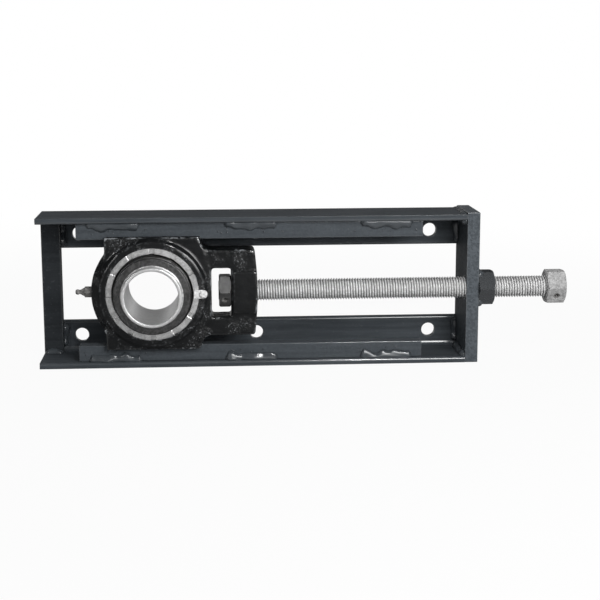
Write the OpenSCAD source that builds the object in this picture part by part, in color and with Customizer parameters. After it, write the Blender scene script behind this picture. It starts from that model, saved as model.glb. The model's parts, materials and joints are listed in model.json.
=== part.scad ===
// Take-up bearing unit: a cast bearing housing that slides on two guide bars inside a
// welded steel frame and is set along it by an adjusting screw.
// X runs along the screw, Y along the shaft bore and away from the front, Z is up.
// The origin is the centre of the shaft bore with the housing at its rest place.

/* [Frame] */
// Overall height across the two angles
frame_height = 178; // [160:1:220]
// Length of each angle
angle_length = 505; // [470:1:620]
// Depth of each angle's flange, from front edge to back face
flange_depth = 76; // [74:1:100]
// Height of each angle's upright leg
leg_height = 44.5; // [42:0.5:56]
// Thickness of flange and leg
angle_thickness = 7; // [6:0.5:10]
// Fillet at the root of each angle
root_radius = 6; // [3:0.5:9]
// Rounding on the toes of each angle
toe_radius = 3; // [1:0.5:5]
// Bore centre at rest, from the angles' left end
bore_from_left = 134; // [122:1:180]
// Thickness of the end plate that carries the screw
end_plate_thickness = 15; // [10:1:25]
// Height of the end plate above the upper angle
end_plate_rise = 2.5; // [0.5:0.5:6]
// Width of the crossbar at the left end
crossbar_width = 23; // [16:1:30]
// Thickness of the crossbar
crossbar_thickness = 13; // [8:0.5:15]

/* [Mounting holes] */
// Diameter of the mounting holes in the legs
hole_diameter = 16.5; // [10:0.5:20]
// First hole, from the angles' left end
hole_from_left = 44.5; // [38:0.5:60]
// Last hole, from the angles' right end
hole_from_right = 34.5; // [28:0.5:60]
// Holes' centres, in from the outer faces of the flanges
hole_gauge = 26.75; // [24:0.25:30]

/* [Guide bars] */
// Side of the square guide bar
guide_bar = 19; // [14:0.5:22]
// Start of the guide bars, from the angles' left end
guide_from_left = 46; // [30:1:48]
// End of the guide bars, from the angles' right end
guide_from_right = 52; // [20:1:80]
// Step from the flange's front edge back to the bar's front face
guide_setback = 6; // [5:0.5:9]

/* [Welds] */
// Leg of a weld bead
weld_leg = 7; // [4:0.5:8]
// Length of each stitch weld on the guide bars
stitch_length = 62; // [30:1:80]
// Ends of the two outer stitch welds, in from the ends of the bar
stitch_inset = 12; // [4:1:40]

/* [Adjusting screw] */
// Diameter of the screw
screw_diameter = 25.4; // [20:0.1:28]
// Radial clearance of the screw in the end plate and in the housing
screw_clearance = 0.5; // [0.3:0.1:1.5]
// Radial clearance of the screw in the frame nut
thread_clearance = 0.1; // [0.05:0.05:0.3]
// Radial clearance of the screw in the nuts pinned to it
pinned_clearance = 0.04; // [0.02:0.01:0.1]
// Frame nut, across flats
frame_nut_flats = 38.5; // [36:0.5:46]
// Frame nut, thickness
frame_nut_thickness = 19; // [15:0.5:28]
// Wrench nut at the outer end, across flats
wrench_nut_flats = 37.5; // [36:0.5:46]
// Wrench nut, thickness
wrench_nut_thickness = 22.5; // [18:0.5:36]
// Bare screw between frame nut and wrench nut at rest
wrench_nut_gap = 63.5; // [45:0.5:120]
// Inner nut in the housing's window, across flats
inner_nut_flats = 36; // [34:0.5:42]
// Inner nut, thickness
inner_nut_thickness = 14; // [10:0.5:18]
// Screw end that stands out of the inner nut
screw_stub = 0.5; // [0.5:0.5:5]
// Gap between the inner nut and the window wall it pulls on
nut_play = 0.3; // [0.2:0.1:1]
// Diameter of the spring pins through the nuts
pin_diameter = 8; // [5:0.5:9]
// Wall of the spring pins
pin_wall = 1.6; // [1:0.1:2]

/* [Housing] */
// Width of the hub's faces round the bearing
hub_rim = 9.6; // [7:0.1:12]
// Step from the rim of the hub's faces out to its widest
hub_flank = 8; // [3:0.5:9]
// Depth of the hub from front face to back face
hub_depth = 48; // [46:1:60]
// Width of the lugs that ride on the guide bars
lug_width = 110; // [100:1:120]
// Height that a lug's lips reach over the guide bar
lip_overlap = 3.5; // [2:0.5:6]
// Thickness of a lug's lips
lip_thickness = 9.5; // [8:0.5:14]
// Clearance between a lip and the side of the guide bar
slide_clearance = 0.5; // [0.3:0.1:1]
// Clearance between a lug and the guide bar's running face
seat_clearance = 0.3; // [0.2:0.1:0.8]
// Reach of the screw block from the bore centre
block_reach = 123; // [114:1:135]
// Height of the screw block
block_height = 102; // [90:1:112]
// Depth of the screw block
block_depth = 37; // [32:1:44]
// Wall of the block that the screw passes
block_wall = 31; // [22:1:34]
// Width of the window for the inner nut
window_width = 23; // [18:0.5:26]
// Height of the window
window_height = 58; // [52:1:70]
// Rounding of the window's corners
window_corner = 2; // [1:0.5:4]
// Rounding of the block's outer corners
block_corner = 8; // [4:1:14]
// Radius of the bow in the block's end
block_bow = 400; // [200:10:600]
// Height of the raised pads round the screw hole
pad_height = 49; // [40:1:56]
// Height that the pads stand off the block's faces
pad_rise = 2; // [1:0.5:3]
// Block's face between the window and the pads
pad_inset = 3; // [2:0.5:6]
// Fillets of the casting's outline
cast_fillet = 12; // [6:1:16]

/* [Bearing] */
// Diameter of the shaft bore
bore_diameter = 61.9; // [50:0.1:64]
// Length of the bore through the inner ring
bore_length = 94; // [86:1:110]
// Wall of the inner ring's sleeve
sleeve_wall = 4.45; // [3.5:0.05:5]
// Width of the notched ring's face
ring_width = 6.85; // [5.5:0.05:9]
// Thickness of the notched ring
ring_thickness = 10.5; // [9.5:0.5:14]
// Depth that the notched ring lies below the hub's face
ring_recess = 0.5; // [0:0.1:2]
// Number of spanner notches
notch_count = 12; // [6:1:18]
// Width of a spanner notch
notch_width = 6; // [4:0.5:9]
// Depth of a spanner notch
notch_depth = 3; // [1.5:0.5:4]
// Width of each outer race
cup_width = 13; // [12:0.5:15]
// Gap between the two outer races, where the grease comes in
cup_gap = 2; // [1:0.5:4]
// Rollers in each row
roller_count = 20; // [12:1:21]
// Diameter of a roller at its middle
roller_diameter = 9; // [7:0.1:9.5]
// Length of a roller
roller_length = 10.5; // [8:0.5:11]
// Wall of the inner ring under the middle of the rollers, above the sleeve
raceway_rise = 3.4; // [3:0.1:3.8]
// Slope of the rollers against the shaft axis
roller_slope = 14; // [10:0.5:15]
// Radial clearance of the rollers and seals
running_clearance = 0.15; // [0.1:0.01:0.2]
// Thickness of a seal
seal_thickness = 4.5; // [3:0.5:5]
// Wall of a locking collar
collar_wall = 9.8; // [8:0.1:11]
// Radial gap between a collar and the notched ring round it
collar_clearance = 2.3; // [1.5:0.1:4]
// Width of a locking collar
collar_width = 19.5; // [14:0.5:20]
// Diameter of the set screws in the collars
set_screw_diameter = 8; // [6:0.5:10]
// Length of the grease fitting outside the hub
grease_fitting_length = 19; // [12:0.5:22]
// Grease fitting, across flats
grease_fitting_flats = 12; // [9:0.5:14]

/* [Hidden] */
$fn = 64;

cut = 1;                      // how far a cutting shape runs past what it cuts
part_fit = 0.02;              // radial gap between pieces pressed or screwed into one another
frame_black = [0.17, 0.18, 0.19];
cast_black = [0.08, 0.08, 0.09];
bright_steel = [0.78, 0.78, 0.79];
zinc_grey = [0.66, 0.67, 0.66];
dark_steel = [0.35, 0.35, 0.36];
seal_black = [0.12, 0.12, 0.13];

half_height = frame_height / 2;
inner_z = half_height - angle_thickness;         // inner face of the flanges
frame_left = -bore_from_left;
frame_right = frame_left + angle_length;         // inner face of the end plate
plate_outer = frame_right + end_plate_thickness;
front_edge = -guide_bar / 2 - guide_setback;     // front edge of the flanges
back_face = front_edge + flange_depth;           // face that is bolted to the machine
leg_inner = back_face - angle_thickness;
bar_inner = inner_z - guide_bar;                 // running face of the guide bars
guide_left = frame_left + guide_from_left;
guide_right = frame_right - guide_from_right;
hole_left = frame_left + hole_from_left;
hole_pitch = (angle_length - hole_from_left - hole_from_right) / 2;

screw_radius = screw_diameter / 2;
frame_nut_end = plate_outer + frame_nut_thickness;
wrench_nut_left = frame_nut_end + wrench_nut_gap;
wrench_nut_right = wrench_nut_left + wrench_nut_thickness;
window_right = block_reach - block_wall;
window_left = window_right - window_width;
inner_nut_right = window_right - nut_play;
inner_nut_left = inner_nut_right - inner_nut_thickness;
inner_pin_x = inner_nut_left + inner_nut_thickness / 2;
wrench_pin_x = wrench_nut_left + wrench_nut_thickness / 2;
pin_turn = 120;                                  // pins stand square to the lower front flats

bore_radius = bore_diameter / 2;
sleeve_radius = bore_radius + sleeve_wall;
collar_radius = sleeve_radius + collar_wall;
ring_inner = 2 * (collar_radius + collar_clearance);
ring_outer = ring_inner + 2 * ring_width;
race_seat = ring_outer / 2 + part_fit;           // bore of the housing around ring and races

hub_face_radius = race_seat + hub_rim;
hub_radius = hub_face_radius + hub_flank;
lug_half_depth = guide_bar / 2 + slide_clearance + lip_thickness;
lug_top = bar_inner + lip_overlap;
lug_left = -lug_width / 2;
lug_right = lug_width / 2;
groove_half = guide_bar / 2 + slide_clearance;
// slant of the lugs' right sides, which run from the lugs' corners down to touch the hub
lug_slant = atan2(lug_top, lug_right) - acos(hub_radius / norm([lug_right, lug_top]));
hub_front = -hub_depth / 2;
hub_back = hub_depth / 2;

ring_front = hub_front + ring_recess;
cups_front = ring_front + ring_thickness;
cups_middle = cups_front + cup_width + cup_gap / 2;
cups_back = cups_middle + cup_gap / 2 + cup_width;
row_offset = (cup_gap + cup_width) / 2;
roller_pitch_radius = sleeve_radius + raceway_rise + roller_diameter / 2;
apex = roller_pitch_radius / tan(roller_slope);  // from a row's middle to its cones' apex
roller_taper = atan(roller_diameter / 2 / (apex / cos(roller_slope)));
inner_slope = roller_slope - roller_taper;
outer_slope = roller_slope + roller_taper;
roller_half = roller_length / 2 * cos(roller_slope);
roller_end_lean = (roller_diameter / 2 + roller_length / 2 * tan(roller_taper)) * sin(roller_slope);
rib_half = row_offset - roller_half - roller_end_lean - 2 * running_clearance;
cage_half = roller_half + 1.2;
cage_wall = 1.8;
seal_inset = 0.5;                                // from the races' outer ends to the seals
seal_front = cups_front - seal_inset;            // inner faces of the two seals
seal_back = cups_back + seal_inset;
collar_gap = 1;                                  // between a seal and its collar
front_collar_face = seal_front - seal_thickness - collar_gap - collar_width;
rear_collar_face = seal_back + seal_thickness + collar_gap;
set_screw_angles = [55, 175];                    // places of the set screws around a collar
grease_thread_radius = 3.2;
tab_thickness = 1.8;
tab_width = 10;
tab_play = 0.3;                                  // gap round the tab's tooth in its notch
lock_screw_radius = (race_seat + hub_face_radius) / 2;
lock_screw_shank = 2.5;
lock_screw_depth = 10;
lock_head_radius = 4.5;

// Radius of a race cone at y, on the side of the row at row_y whose large end faces the middle
function cone_radius(y, row_y, slope) =
  (apex + (row_y < cups_middle ? y - row_y : row_y - y)) * tan(slope);

module along_x(from, to) {
  translate([from, 0, 0]) rotate([90, 0, 90]) linear_extrude(to - from) children();
}

module along_y(from, to) {
  translate([0, to, 0]) rotate([90, 0, 0]) linear_extrude(to - from) children();
}

module turned() {
  rotate([-90, 0, 0]) rotate_extrude($fn = 128) children();
}

module rod_x(radius, from, to) {
  translate([from, 0, 0]) rotate([0, 90, 0]) cylinder(r = radius, h = to - from);
}

module rod_y(radius, from, to) {
  translate([0, from, 0]) rotate([-90, 0, 0]) cylinder(r = radius, h = to - from);
}

// Rectangle between two corners, with the four corners rounded
module round_box(low, high, radius) {
  size = high - low;
  translate(low + [radius, 0]) square([size.x - 2 * radius, size.y]);
  translate(low + [0, radius]) square([size.x, size.y - 2 * radius]);
  for (u = [low.x + radius, high.x - radius], v = [low.y + radius, high.y - radius])
    translate([u, v]) circle(radius);
}

// Concave fillet that fills the corner at the origin towards +u and +v
module corner_fill(radius) {
  difference() {
    square(radius);
    translate([radius, radius]) circle(radius);
  }
}

// Angle section in Y and Z for the upper flange
module angle_section() {
  difference() {
    union() {
      translate([front_edge, inner_z]) square([flange_depth, angle_thickness]);
      translate([leg_inner, half_height - leg_height]) square([angle_thickness, leg_height]);
      translate([leg_inner, inner_z]) rotate(180) corner_fill(root_radius);
    }
    translate([front_edge, inner_z]) corner_fill(toe_radius);
    translate([leg_inner, half_height - leg_height]) corner_fill(toe_radius);
  }
}

module angle_bar() {
  difference() {
    along_x(frame_left, frame_right) angle_section();
    for (i = [0:2])
      translate([hole_left + i * hole_pitch, 0, half_height - hole_gauge])
        rod_y(hole_diameter / 2, leg_inner - cut, back_face + cut);
  }
}

module upper_angle() {
  color(frame_black) angle_bar();
}

module lower_angle() {
  color(frame_black) mirror([0, 0, 1]) angle_bar();
}

// Flat bar between the flanges, with its back corners cut to clear the angles' roots
module crossbar() {
  cope = root_radius;
  back = leg_inner;
  front = leg_inner - crossbar_thickness;
  color(frame_black) along_x(frame_left, frame_left + crossbar_width)
    polygon([
      [front, -inner_z], [back - cope, -inner_z], [back, cope - inner_z],
      [back, inner_z - cope], [back - cope, inner_z], [front, inner_z]]);
}

module end_plate() {
  color(frame_black) difference() {
    translate([frame_right, front_edge, -half_height])
      cube([end_plate_thickness, flange_depth, frame_height + end_plate_rise]);
    rod_x(screw_radius + screw_clearance, frame_right - cut, plate_outer + cut);
  }
}

module guide_bar_solid() {
  translate([guide_left, -guide_bar / 2, bar_inner])
    cube([guide_right - guide_left, guide_bar, guide_bar]);
}

module upper_guide_bar() {
  color(frame_black) guide_bar_solid();
}

module lower_guide_bar() {
  color(frame_black) mirror([0, 0, 1]) guide_bar_solid();
}

// Bead section in the corner at the origin, with legs along +u and +v and a bulged face
module bead_section(leg_u, leg_v) {
  steps = 6;
  face = [for (i = [0:steps]) [leg_u * cos(90 * i / steps), leg_v * sin(90 * i / steps)]];
  polygon(concat([[0, 0]], face));
}

// Three stitch welds along the front of the upper guide bar
module bar_welds() {
  first = guide_left + stitch_inset;
  last = guide_right - stitch_inset - stitch_length;
  for (start = [first, (first + last) / 2, last])
    along_x(start, start + stitch_length)
      translate([-guide_bar / 2, inner_z]) rotate(180) bead_section(guide_setback - toe_radius / 2, weld_leg);
}

module upper_bar_welds() {
  color(frame_black) bar_welds();
}

module lower_bar_welds() {
  color(frame_black) mirror([0, 0, 1]) bar_welds();
}

// Beads that hold the crossbar: one along each flange and one down each leg
module crossbar_welds() {
  front = leg_inner - crossbar_thickness;
  right = frame_left + crossbar_width;
  leg_toe = half_height - leg_height + toe_radius;
  color(frame_black) for (side = [0, 1]) mirror([0, 0, side]) {
    along_x(frame_left + 1, right)
      translate([front, inner_z]) rotate(180) bead_section(weld_leg, weld_leg);
    translate([right, leg_inner, leg_toe]) linear_extrude(inner_z - root_radius - leg_toe)
      rotate(-90) bead_section(weld_leg, weld_leg);
  }
}

// Beads that hold the end plate to each flange and to each leg
module end_plate_welds() {
  leg_toe = half_height - leg_height + toe_radius;
  color(frame_black) for (side = [0, 1]) mirror([0, 0, side]) {
    translate([frame_right, 0, inner_z]) along_y(front_edge + toe_radius, leg_inner - weld_leg - 1)
      rotate(180) bead_section(weld_leg, weld_leg);
    translate([frame_right, leg_inner, leg_toe]) linear_extrude(inner_z - root_radius - leg_toe)
      rotate(180) bead_section(weld_leg, weld_leg);
  }
}

// Hexagon nut along X with its corners turned off; a corner faces the front
module hex_nut(flats, from, to, hole_radius) {
  corner = flats / 2 / cos(30);
  turn_off = (corner - flats / 2) * 0.6;
  difference() {
    intersection() {
      translate([from, 0, 0]) rotate([0, 90, 0]) rotate([0, 0, 90])
        cylinder(r = corner, h = to - from, $fn = 6);
      translate([from, 0, 0]) rotate([0, 90, 0]) rotate_extrude()
        polygon([
          [0, 0], [flats / 2, 0], [corner, turn_off], [corner, to - from - turn_off],
          [flats / 2, to - from], [0, to - from]]);
    }
    rod_x(hole_radius, from - cut, to + cut);
  }
}

// Cylinder through a nut's lower front flat, square to the screw
module pin_through(x, radius, length) {
  translate([x, 0, 0]) rotate([pin_turn, 0, 0]) cylinder(r = radius, h = length, center = true);
}

module frame_nut() {
  color(frame_black)
    hex_nut(frame_nut_flats, plate_outer, frame_nut_end, screw_radius + thread_clearance);
}

// Bead round the foot of the frame nut, where the plate is under it
module frame_nut_weld() {
  corner = frame_nut_flats / 2 / cos(30);
  root = frame_nut_flats / 2 - 1;
  color(frame_black) difference() {
    translate([plate_outer, 0, 0]) rotate([0, 90, 0]) rotate_extrude()
      polygon([[root, 0], [corner + weld_leg / 2, 0], [root, weld_leg]]);
    translate([plate_outer - cut, 0, 0]) rotate([0, 90, 0]) rotate([0, 0, 90])
      cylinder(r = corner, h = weld_leg + 2 * cut, $fn = 6);
    translate([plate_outer - cut, front_edge - 2 * corner, -2 * corner])
      cube([2 * weld_leg, 2 * corner, 4 * corner]);
  }
}

// Outline of the lugs: the left side runs into the hub, the right side slants down to it
module lug_outline() {
  fillet_x = lug_left - cast_fillet;
  fillet_z = sqrt(pow(hub_radius + cast_fillet, 2) - pow(fillet_x, 2));
  reach = hub_radius / (hub_radius + cast_fillet);
  touch = hub_radius * [cos(lug_slant), sin(lug_slant)];
  polygon([
    [lug_left, -lug_top], [lug_right, -lug_top], [touch.x, -touch.y],
    [touch.x, touch.y], [lug_right, lug_top], [lug_left, lug_top]]);
  for (side = [-1, 1])
    difference() {
      polygon([
        [0, 0], [lug_left, side * fillet_z], [fillet_x, side * fillet_z],
        [fillet_x * reach, side * fillet_z * reach]]);
      translate([fillet_x, side * fillet_z]) circle(cast_fillet);
    }
}

// Keeps what lies inside the gentle bow of the block's end
module inside_bow() {
  intersection() {
    children();
    translate([block_reach - block_bow, 0]) circle(block_bow, $fn = 256);
  }
}

// Outline of the screw block, with fillets up to the lugs' slanting sides
module block_outline() {
  fillet_z = block_height / 2 + cast_fillet;
  fillet_x = (hub_radius + cast_fillet - fillet_z * sin(lug_slant)) / cos(lug_slant);
  inside_bow() round_box([0, -block_height / 2], [block_reach, block_height / 2], block_corner);
  for (side = [-1, 1])
    difference() {
      polygon([
        [0, 0], [fillet_x, 0], [fillet_x, side * fillet_z],
        [fillet_x - cast_fillet * cos(lug_slant), side * (fillet_z - cast_fillet * sin(lug_slant))]]);
      translate([fillet_x, side * fillet_z]) circle(cast_fillet);
    }
}

// Outline of the pads that stiffen the block round the screw hole
module pad_outline() {
  inside_bow()
    round_box([window_right + pad_inset, -pad_height / 2], [block_reach, pad_height / 2], window_corner);
}

// Half section of the hub, widest at its middle, with rounded faces
module hub_section() {
  belt = lug_half_depth * 0.6;
  edge = 3;
  polygon([
    [0, hub_front], [hub_face_radius - edge, hub_front], [hub_face_radius, hub_front + edge],
    [hub_radius, -belt], [hub_radius, belt],
    [hub_face_radius, hub_back - edge], [hub_face_radius - edge, hub_back], [0, hub_back]]);
}

module housing() {
  color(cast_black) difference() {
    union() {
      along_y(-lug_half_depth, lug_half_depth) lug_outline();
      along_y(-block_depth / 2, block_depth / 2) block_outline();
      along_y(-block_depth / 2 - pad_rise, block_depth / 2 + pad_rise) pad_outline();
      intersection() {
        turned() hub_section();
        cube([4 * hub_radius, 2 * hub_depth, 2 * lug_top], center = true);
      }
    }
    for (side = [0, 1]) mirror([0, 0, side])
      translate([-2 * hub_radius, -groove_half, bar_inner - seat_clearance])
        cube([4 * hub_radius, 2 * groove_half, lug_top]);
    rod_y(race_seat, hub_front - cut, cups_back);
    rod_y(ring_inner / 2, cups_back - cut, hub_back + cut);
    along_y(-block_depth, block_depth)
      round_box([window_left, -window_height / 2], [window_right, window_height / 2], window_corner);
    rod_x(screw_radius + screw_clearance, window_right - cut, block_reach + cut);
    translate([0, cups_middle, 0]) rod_x(grease_thread_radius, -hub_radius - cut, 0);
    translate([lock_screw_radius, 0, 0])
      rod_y(lock_screw_shank + part_fit, hub_front - cut, hub_front + lock_screw_depth);
  }
}

// Threaded ring that holds the races in, with spanner notches round its face
module notched_ring() {
  color(bright_steel) difference() {
    turned() translate([ring_inner / 2, ring_front]) square([ring_width, ring_thickness]);
    for (i = [0:notch_count - 1])
      rotate([0, i * 360 / notch_count, 0])
        translate([0, ring_front - cut, -notch_width / 2])
          cube([ring_outer, notch_depth + cut, notch_width]);
  }
}

// Plate on the hub's face with a round end, whose tooth stands in a notch of the ring
module lock_tab() {
  inner_end = ring_inner / 2 + 1;
  tooth_width = notch_width - 2 * tab_play;
  color(bright_steel) difference() {
    union() {
      along_y(hub_front - tab_thickness, hub_front) {
        translate([inner_end, -tab_width / 2]) square([lock_screw_radius - inner_end, tab_width]);
        translate([lock_screw_radius, 0]) circle(tab_width / 2);
      }
      along_y(hub_front - tab_thickness, ring_front + notch_depth - tab_play)
        translate([inner_end, -tooth_width / 2])
          square([ring_outer / 2 - inner_end - tab_play, tooth_width]);
    }
    translate([lock_screw_radius, 0, 0])
      rod_y(lock_screw_shank + part_fit, hub_front - 2 * tab_thickness, 0);
  }
}

// Round-headed screw that holds the tab
module lock_screw() {
  seat = hub_front - tab_thickness;
  head = 3;
  color(zinc_grey) translate([lock_screw_radius, 0, 0]) difference() {
    turned() polygon([
      [0, seat - head], [lock_head_radius * 0.55, seat - head],
      [lock_head_radius * 0.9, seat - head * 0.6], [lock_head_radius, seat], [lock_screw_shank, seat],
      [lock_screw_shank, hub_front + lock_screw_depth - 1], [0, hub_front + lock_screw_depth - 1]]);
    translate([-lock_head_radius, seat - head - cut, -0.6])
      cube([2 * lock_head_radius, head / 2 + cut, 1.2]);
  }
}

// Outer race between y0 and y1 for the row at row_y
module outer_race(y0, y1, row_y) {
  color(bright_steel) turned() polygon([
    [ring_outer / 2, y0], [cone_radius(y0, row_y, outer_slope) + running_clearance, y0],
    [cone_radius(y1, row_y, outer_slope) + running_clearance, y1], [ring_outer / 2, y1]]);
}

module front_outer_race() {
  outer_race(cups_front, cups_front + cup_width, cups_middle - row_offset);
}

module rear_outer_race() {
  outer_race(cups_back - cup_width, cups_back, cups_middle + row_offset);
}

// Seal ring: a case with a lip that reaches in to the sleeve
module seal(y0) {
  lip = 1.2;
  outer = ring_inner / 2 - part_fit;
  inner = sleeve_radius + running_clearance;
  color(seal_black) turned() polygon([
    [outer, y0], [outer, y0 + seal_thickness], [inner + 4, y0 + seal_thickness],
    [inner, y0 + (seal_thickness + lip) / 2], [inner, y0 + (seal_thickness - lip) / 2], [inner + 4, y0]]);
}

module front_seal() {
  seal(seal_front - seal_thickness);
}

module rear_seal() {
  seal(seal_back);
}

// Grease nipple in the hub's left side: thread, hexagon, cone and ball-shaped tip
module grease_fitting() {
  seat = -hub_radius;
  hex_length = grease_fitting_length * 0.42;
  tip = seat - grease_fitting_length;
  thread = grease_thread_radius - part_fit;
  color(zinc_grey) translate([0, cups_middle, 0]) difference() {
    union() {
      translate([seat - hex_length, 0, 0]) rotate([0, 90, 0]) rotate([0, 0, 90])
        cylinder(r = grease_fitting_flats / 2 / cos(30), h = hex_length, $fn = 6);
      rotate([0, -90, 0]) rotate_extrude(convexity = 4)
        polygon([
          [0, race_seat], [thread, race_seat], [thread, -seat + 0.1], [5.4, -seat + hex_length],
          [2.6, -tip - 6], [2.6, -tip - 4.6], [3.3, -tip - 3], [2.6, -tip - 0.6], [1.2, -tip],
          [0, -tip]]);
    }
    rod_x(1.2, tip - cut, 0);
  }
}

// Inner ring: a sleeve with two raceways and a guide rib between them
module inner_ring() {
  front_row = cups_middle - row_offset;
  back_row = cups_middle + row_offset;
  race_front = front_row - roller_half - 0.8;
  race_back = back_row + roller_half + 0.8;
  rib_foot = cone_radius(cups_middle - rib_half, front_row, inner_slope) - running_clearance;
  rib_radius = rib_foot + 2;
  race_end = cone_radius(race_front, front_row, inner_slope) - running_clearance;
  bevel = 1;
  half = bore_length / 2;
  color(bright_steel) turned() polygon([
    [bore_radius, -half + bevel], [bore_radius + bevel, -half], [sleeve_radius - bevel, -half],
    [sleeve_radius, -half + bevel], [sleeve_radius, race_front], [race_end, race_front],
    [rib_foot, cups_middle - rib_half], [rib_radius, cups_middle - rib_half],
    [rib_radius, cups_middle + rib_half], [rib_foot, cups_middle + rib_half], [race_end, race_back],
    [sleeve_radius, race_back], [sleeve_radius, half - bevel], [sleeve_radius - bevel, half],
    [bore_radius + bevel, half], [bore_radius, half - bevel]]);
}

// Holes for the set screws of a collar whose front face is at y0
module set_screw_places(y0) {
  for (a = set_screw_angles)
    rotate([0, -a, 0]) translate([0, y0 + collar_width / 2, 0]) children();
}

// Locking collar with turned edges
module collar(y0) {
  bevel = 1.5;
  y1 = y0 + collar_width;
  outer = collar_radius;
  inner = sleeve_radius + part_fit;
  color(dark_steel) difference() {
    turned() polygon([
      [inner, y0], [outer - bevel, y0], [outer, y0 + bevel],
      [outer, y1 - bevel], [outer - bevel, y1], [inner, y1]]);
    set_screw_places(y0) rod_x(set_screw_diameter / 2, 0, 2 * collar_radius);
  }
}

module front_collar() {
  collar(front_collar_face);
}

module rear_collar() {
  collar(rear_collar_face);
}

// Socket set screws that bear on the sleeve
module collar_set_screws() {
  radius = set_screw_diameter / 2 - part_fit;
  seat = sleeve_radius + part_fit;
  top = collar_radius - 1.5;
  socket = set_screw_diameter / 4;
  color(dark_steel) for (y0 = [front_collar_face, rear_collar_face])
    set_screw_places(y0) difference() {
      rod_x(radius, seat, top);
      translate([top - 4, 0, 0]) rotate([0, 90, 0]) cylinder(r = socket, h = 5, $fn = 6);
    }
}

// Places children at each roller of a row, with the roller's large end at its +Z
module roller_places(row_y) {
  flip = row_y < cups_middle ? 1 : -1;
  for (i = [0:roller_count - 1])
    rotate([0, i * 360 / roller_count, 0]) translate([roller_pitch_radius, row_y, 0])
      rotate([0, 0, -flip * roller_slope]) rotate([-90 * flip, 0, 0]) children();
}

// Tapered roller; extra grows it all round, for the cage's pockets
module roller(extra) {
  half = roller_length / 2 + extra;
  grow = half * tan(roller_taper);
  translate([0, 0, -half])
    cylinder(
      r1 = roller_diameter / 2 - grow + extra, r2 = roller_diameter / 2 + grow + extra, h = 2 * half);
}

module front_rollers() {
  color(bright_steel) roller_places(cups_middle - row_offset) roller(0);
}

module rear_rollers() {
  color(bright_steel) roller_places(cups_middle + row_offset) roller(0);
}

// Cage: a thin cone round the row with a pocket for each roller
module cage(row_y) {
  y0 = row_y - cage_half;
  y1 = row_y + cage_half;
  r0 = cone_radius(y0, row_y, roller_slope);
  r1 = cone_radius(y1, row_y, roller_slope);
  color(zinc_grey) difference() {
    turned() polygon([
      [r0 - cage_wall / 2, y0], [r0 + cage_wall / 2, y0],
      [r1 + cage_wall / 2, y1], [r1 - cage_wall / 2, y1]]);
    roller_places(row_y) roller(running_clearance);
  }
}

module front_cage() {
  cage(cups_middle - row_offset);
}

module rear_cage() {
  cage(cups_middle + row_offset);
}

// Screw with bevelled ends, drilled for the two pins
module adjusting_screw() {
  bevel = 2;
  left = inner_nut_left - screw_stub;
  length = wrench_nut_right - left;
  color(zinc_grey) difference() {
    translate([left, 0, 0]) rotate([0, 90, 0]) rotate_extrude($fn = 96)
      polygon([
        [0, 0], [screw_radius - bevel, 0], [screw_radius, bevel], [screw_radius, length - bevel],
        [screw_radius - bevel, length], [0, length]]);
    for (x = [inner_pin_x, wrench_pin_x])
      pin_through(x, pin_diameter / 2 + part_fit, 2 * screw_diameter);
  }
}

module inner_nut() {
  color(dark_steel) difference() {
    hex_nut(inner_nut_flats, inner_nut_left, inner_nut_right, screw_radius + pinned_clearance);
    pin_through(inner_pin_x, pin_diameter / 2 + part_fit, 2 * inner_nut_flats);
  }
}

module wrench_nut() {
  color(zinc_grey) difference() {
    hex_nut(wrench_nut_flats, wrench_nut_left, wrench_nut_right, screw_radius + pinned_clearance);
    pin_through(wrench_pin_x, pin_diameter / 2 + part_fit, 2 * wrench_nut_flats);
  }
}

// Slotted spring pins, a little shorter than their nuts are wide
module nut_pins() {
  short = 1;
  color(dark_steel) for (place = [[inner_pin_x, inner_nut_flats], [wrench_pin_x, wrench_nut_flats]])
    difference() {
      pin_through(place[0], pin_diameter / 2, place[1] - 2 * short);
      pin_through(place[0], pin_diameter / 2 - pin_wall, place[1]);
      translate([place[0], 0, 0]) rotate([pin_turn, 0, 0]) translate([0, -0.5, -place[1]])
        cube([pin_diameter, 1, 2 * place[1]]);
    }
}

upper_angle();
lower_angle();
crossbar();
end_plate();
upper_guide_bar();
lower_guide_bar();
upper_bar_welds();
lower_bar_welds();
crossbar_welds();
end_plate_welds();
frame_nut();
frame_nut_weld();
housing();
notched_ring();
lock_tab();
lock_screw();
front_outer_race();
rear_outer_race();
front_seal();
rear_seal();
grease_fitting();
inner_ring();
front_collar();
rear_collar();
collar_set_screws();
front_rollers();
rear_rollers();
front_cage();
rear_cage();
adjusting_screw();
inner_nut();
wrench_nut();
nut_pins();
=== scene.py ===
# %% [markdown]
# # Dressing a take-up bearing unit
# A take-up unit keeps a conveyor belt tight. A bearing sits in a cast housing, the housing slides
# on two square bars inside a welded frame, and a long screw pulls it along. The solids come from
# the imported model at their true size. This lesson gives them the finish of the real unit: charcoal
# paint on rolled steel, black enamel on a rough casting, turned rings, and a galvanised thread.

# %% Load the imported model
import json
import math
import random

import bmesh
import bpy
from mathutils import Matrix, Vector, noise


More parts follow.
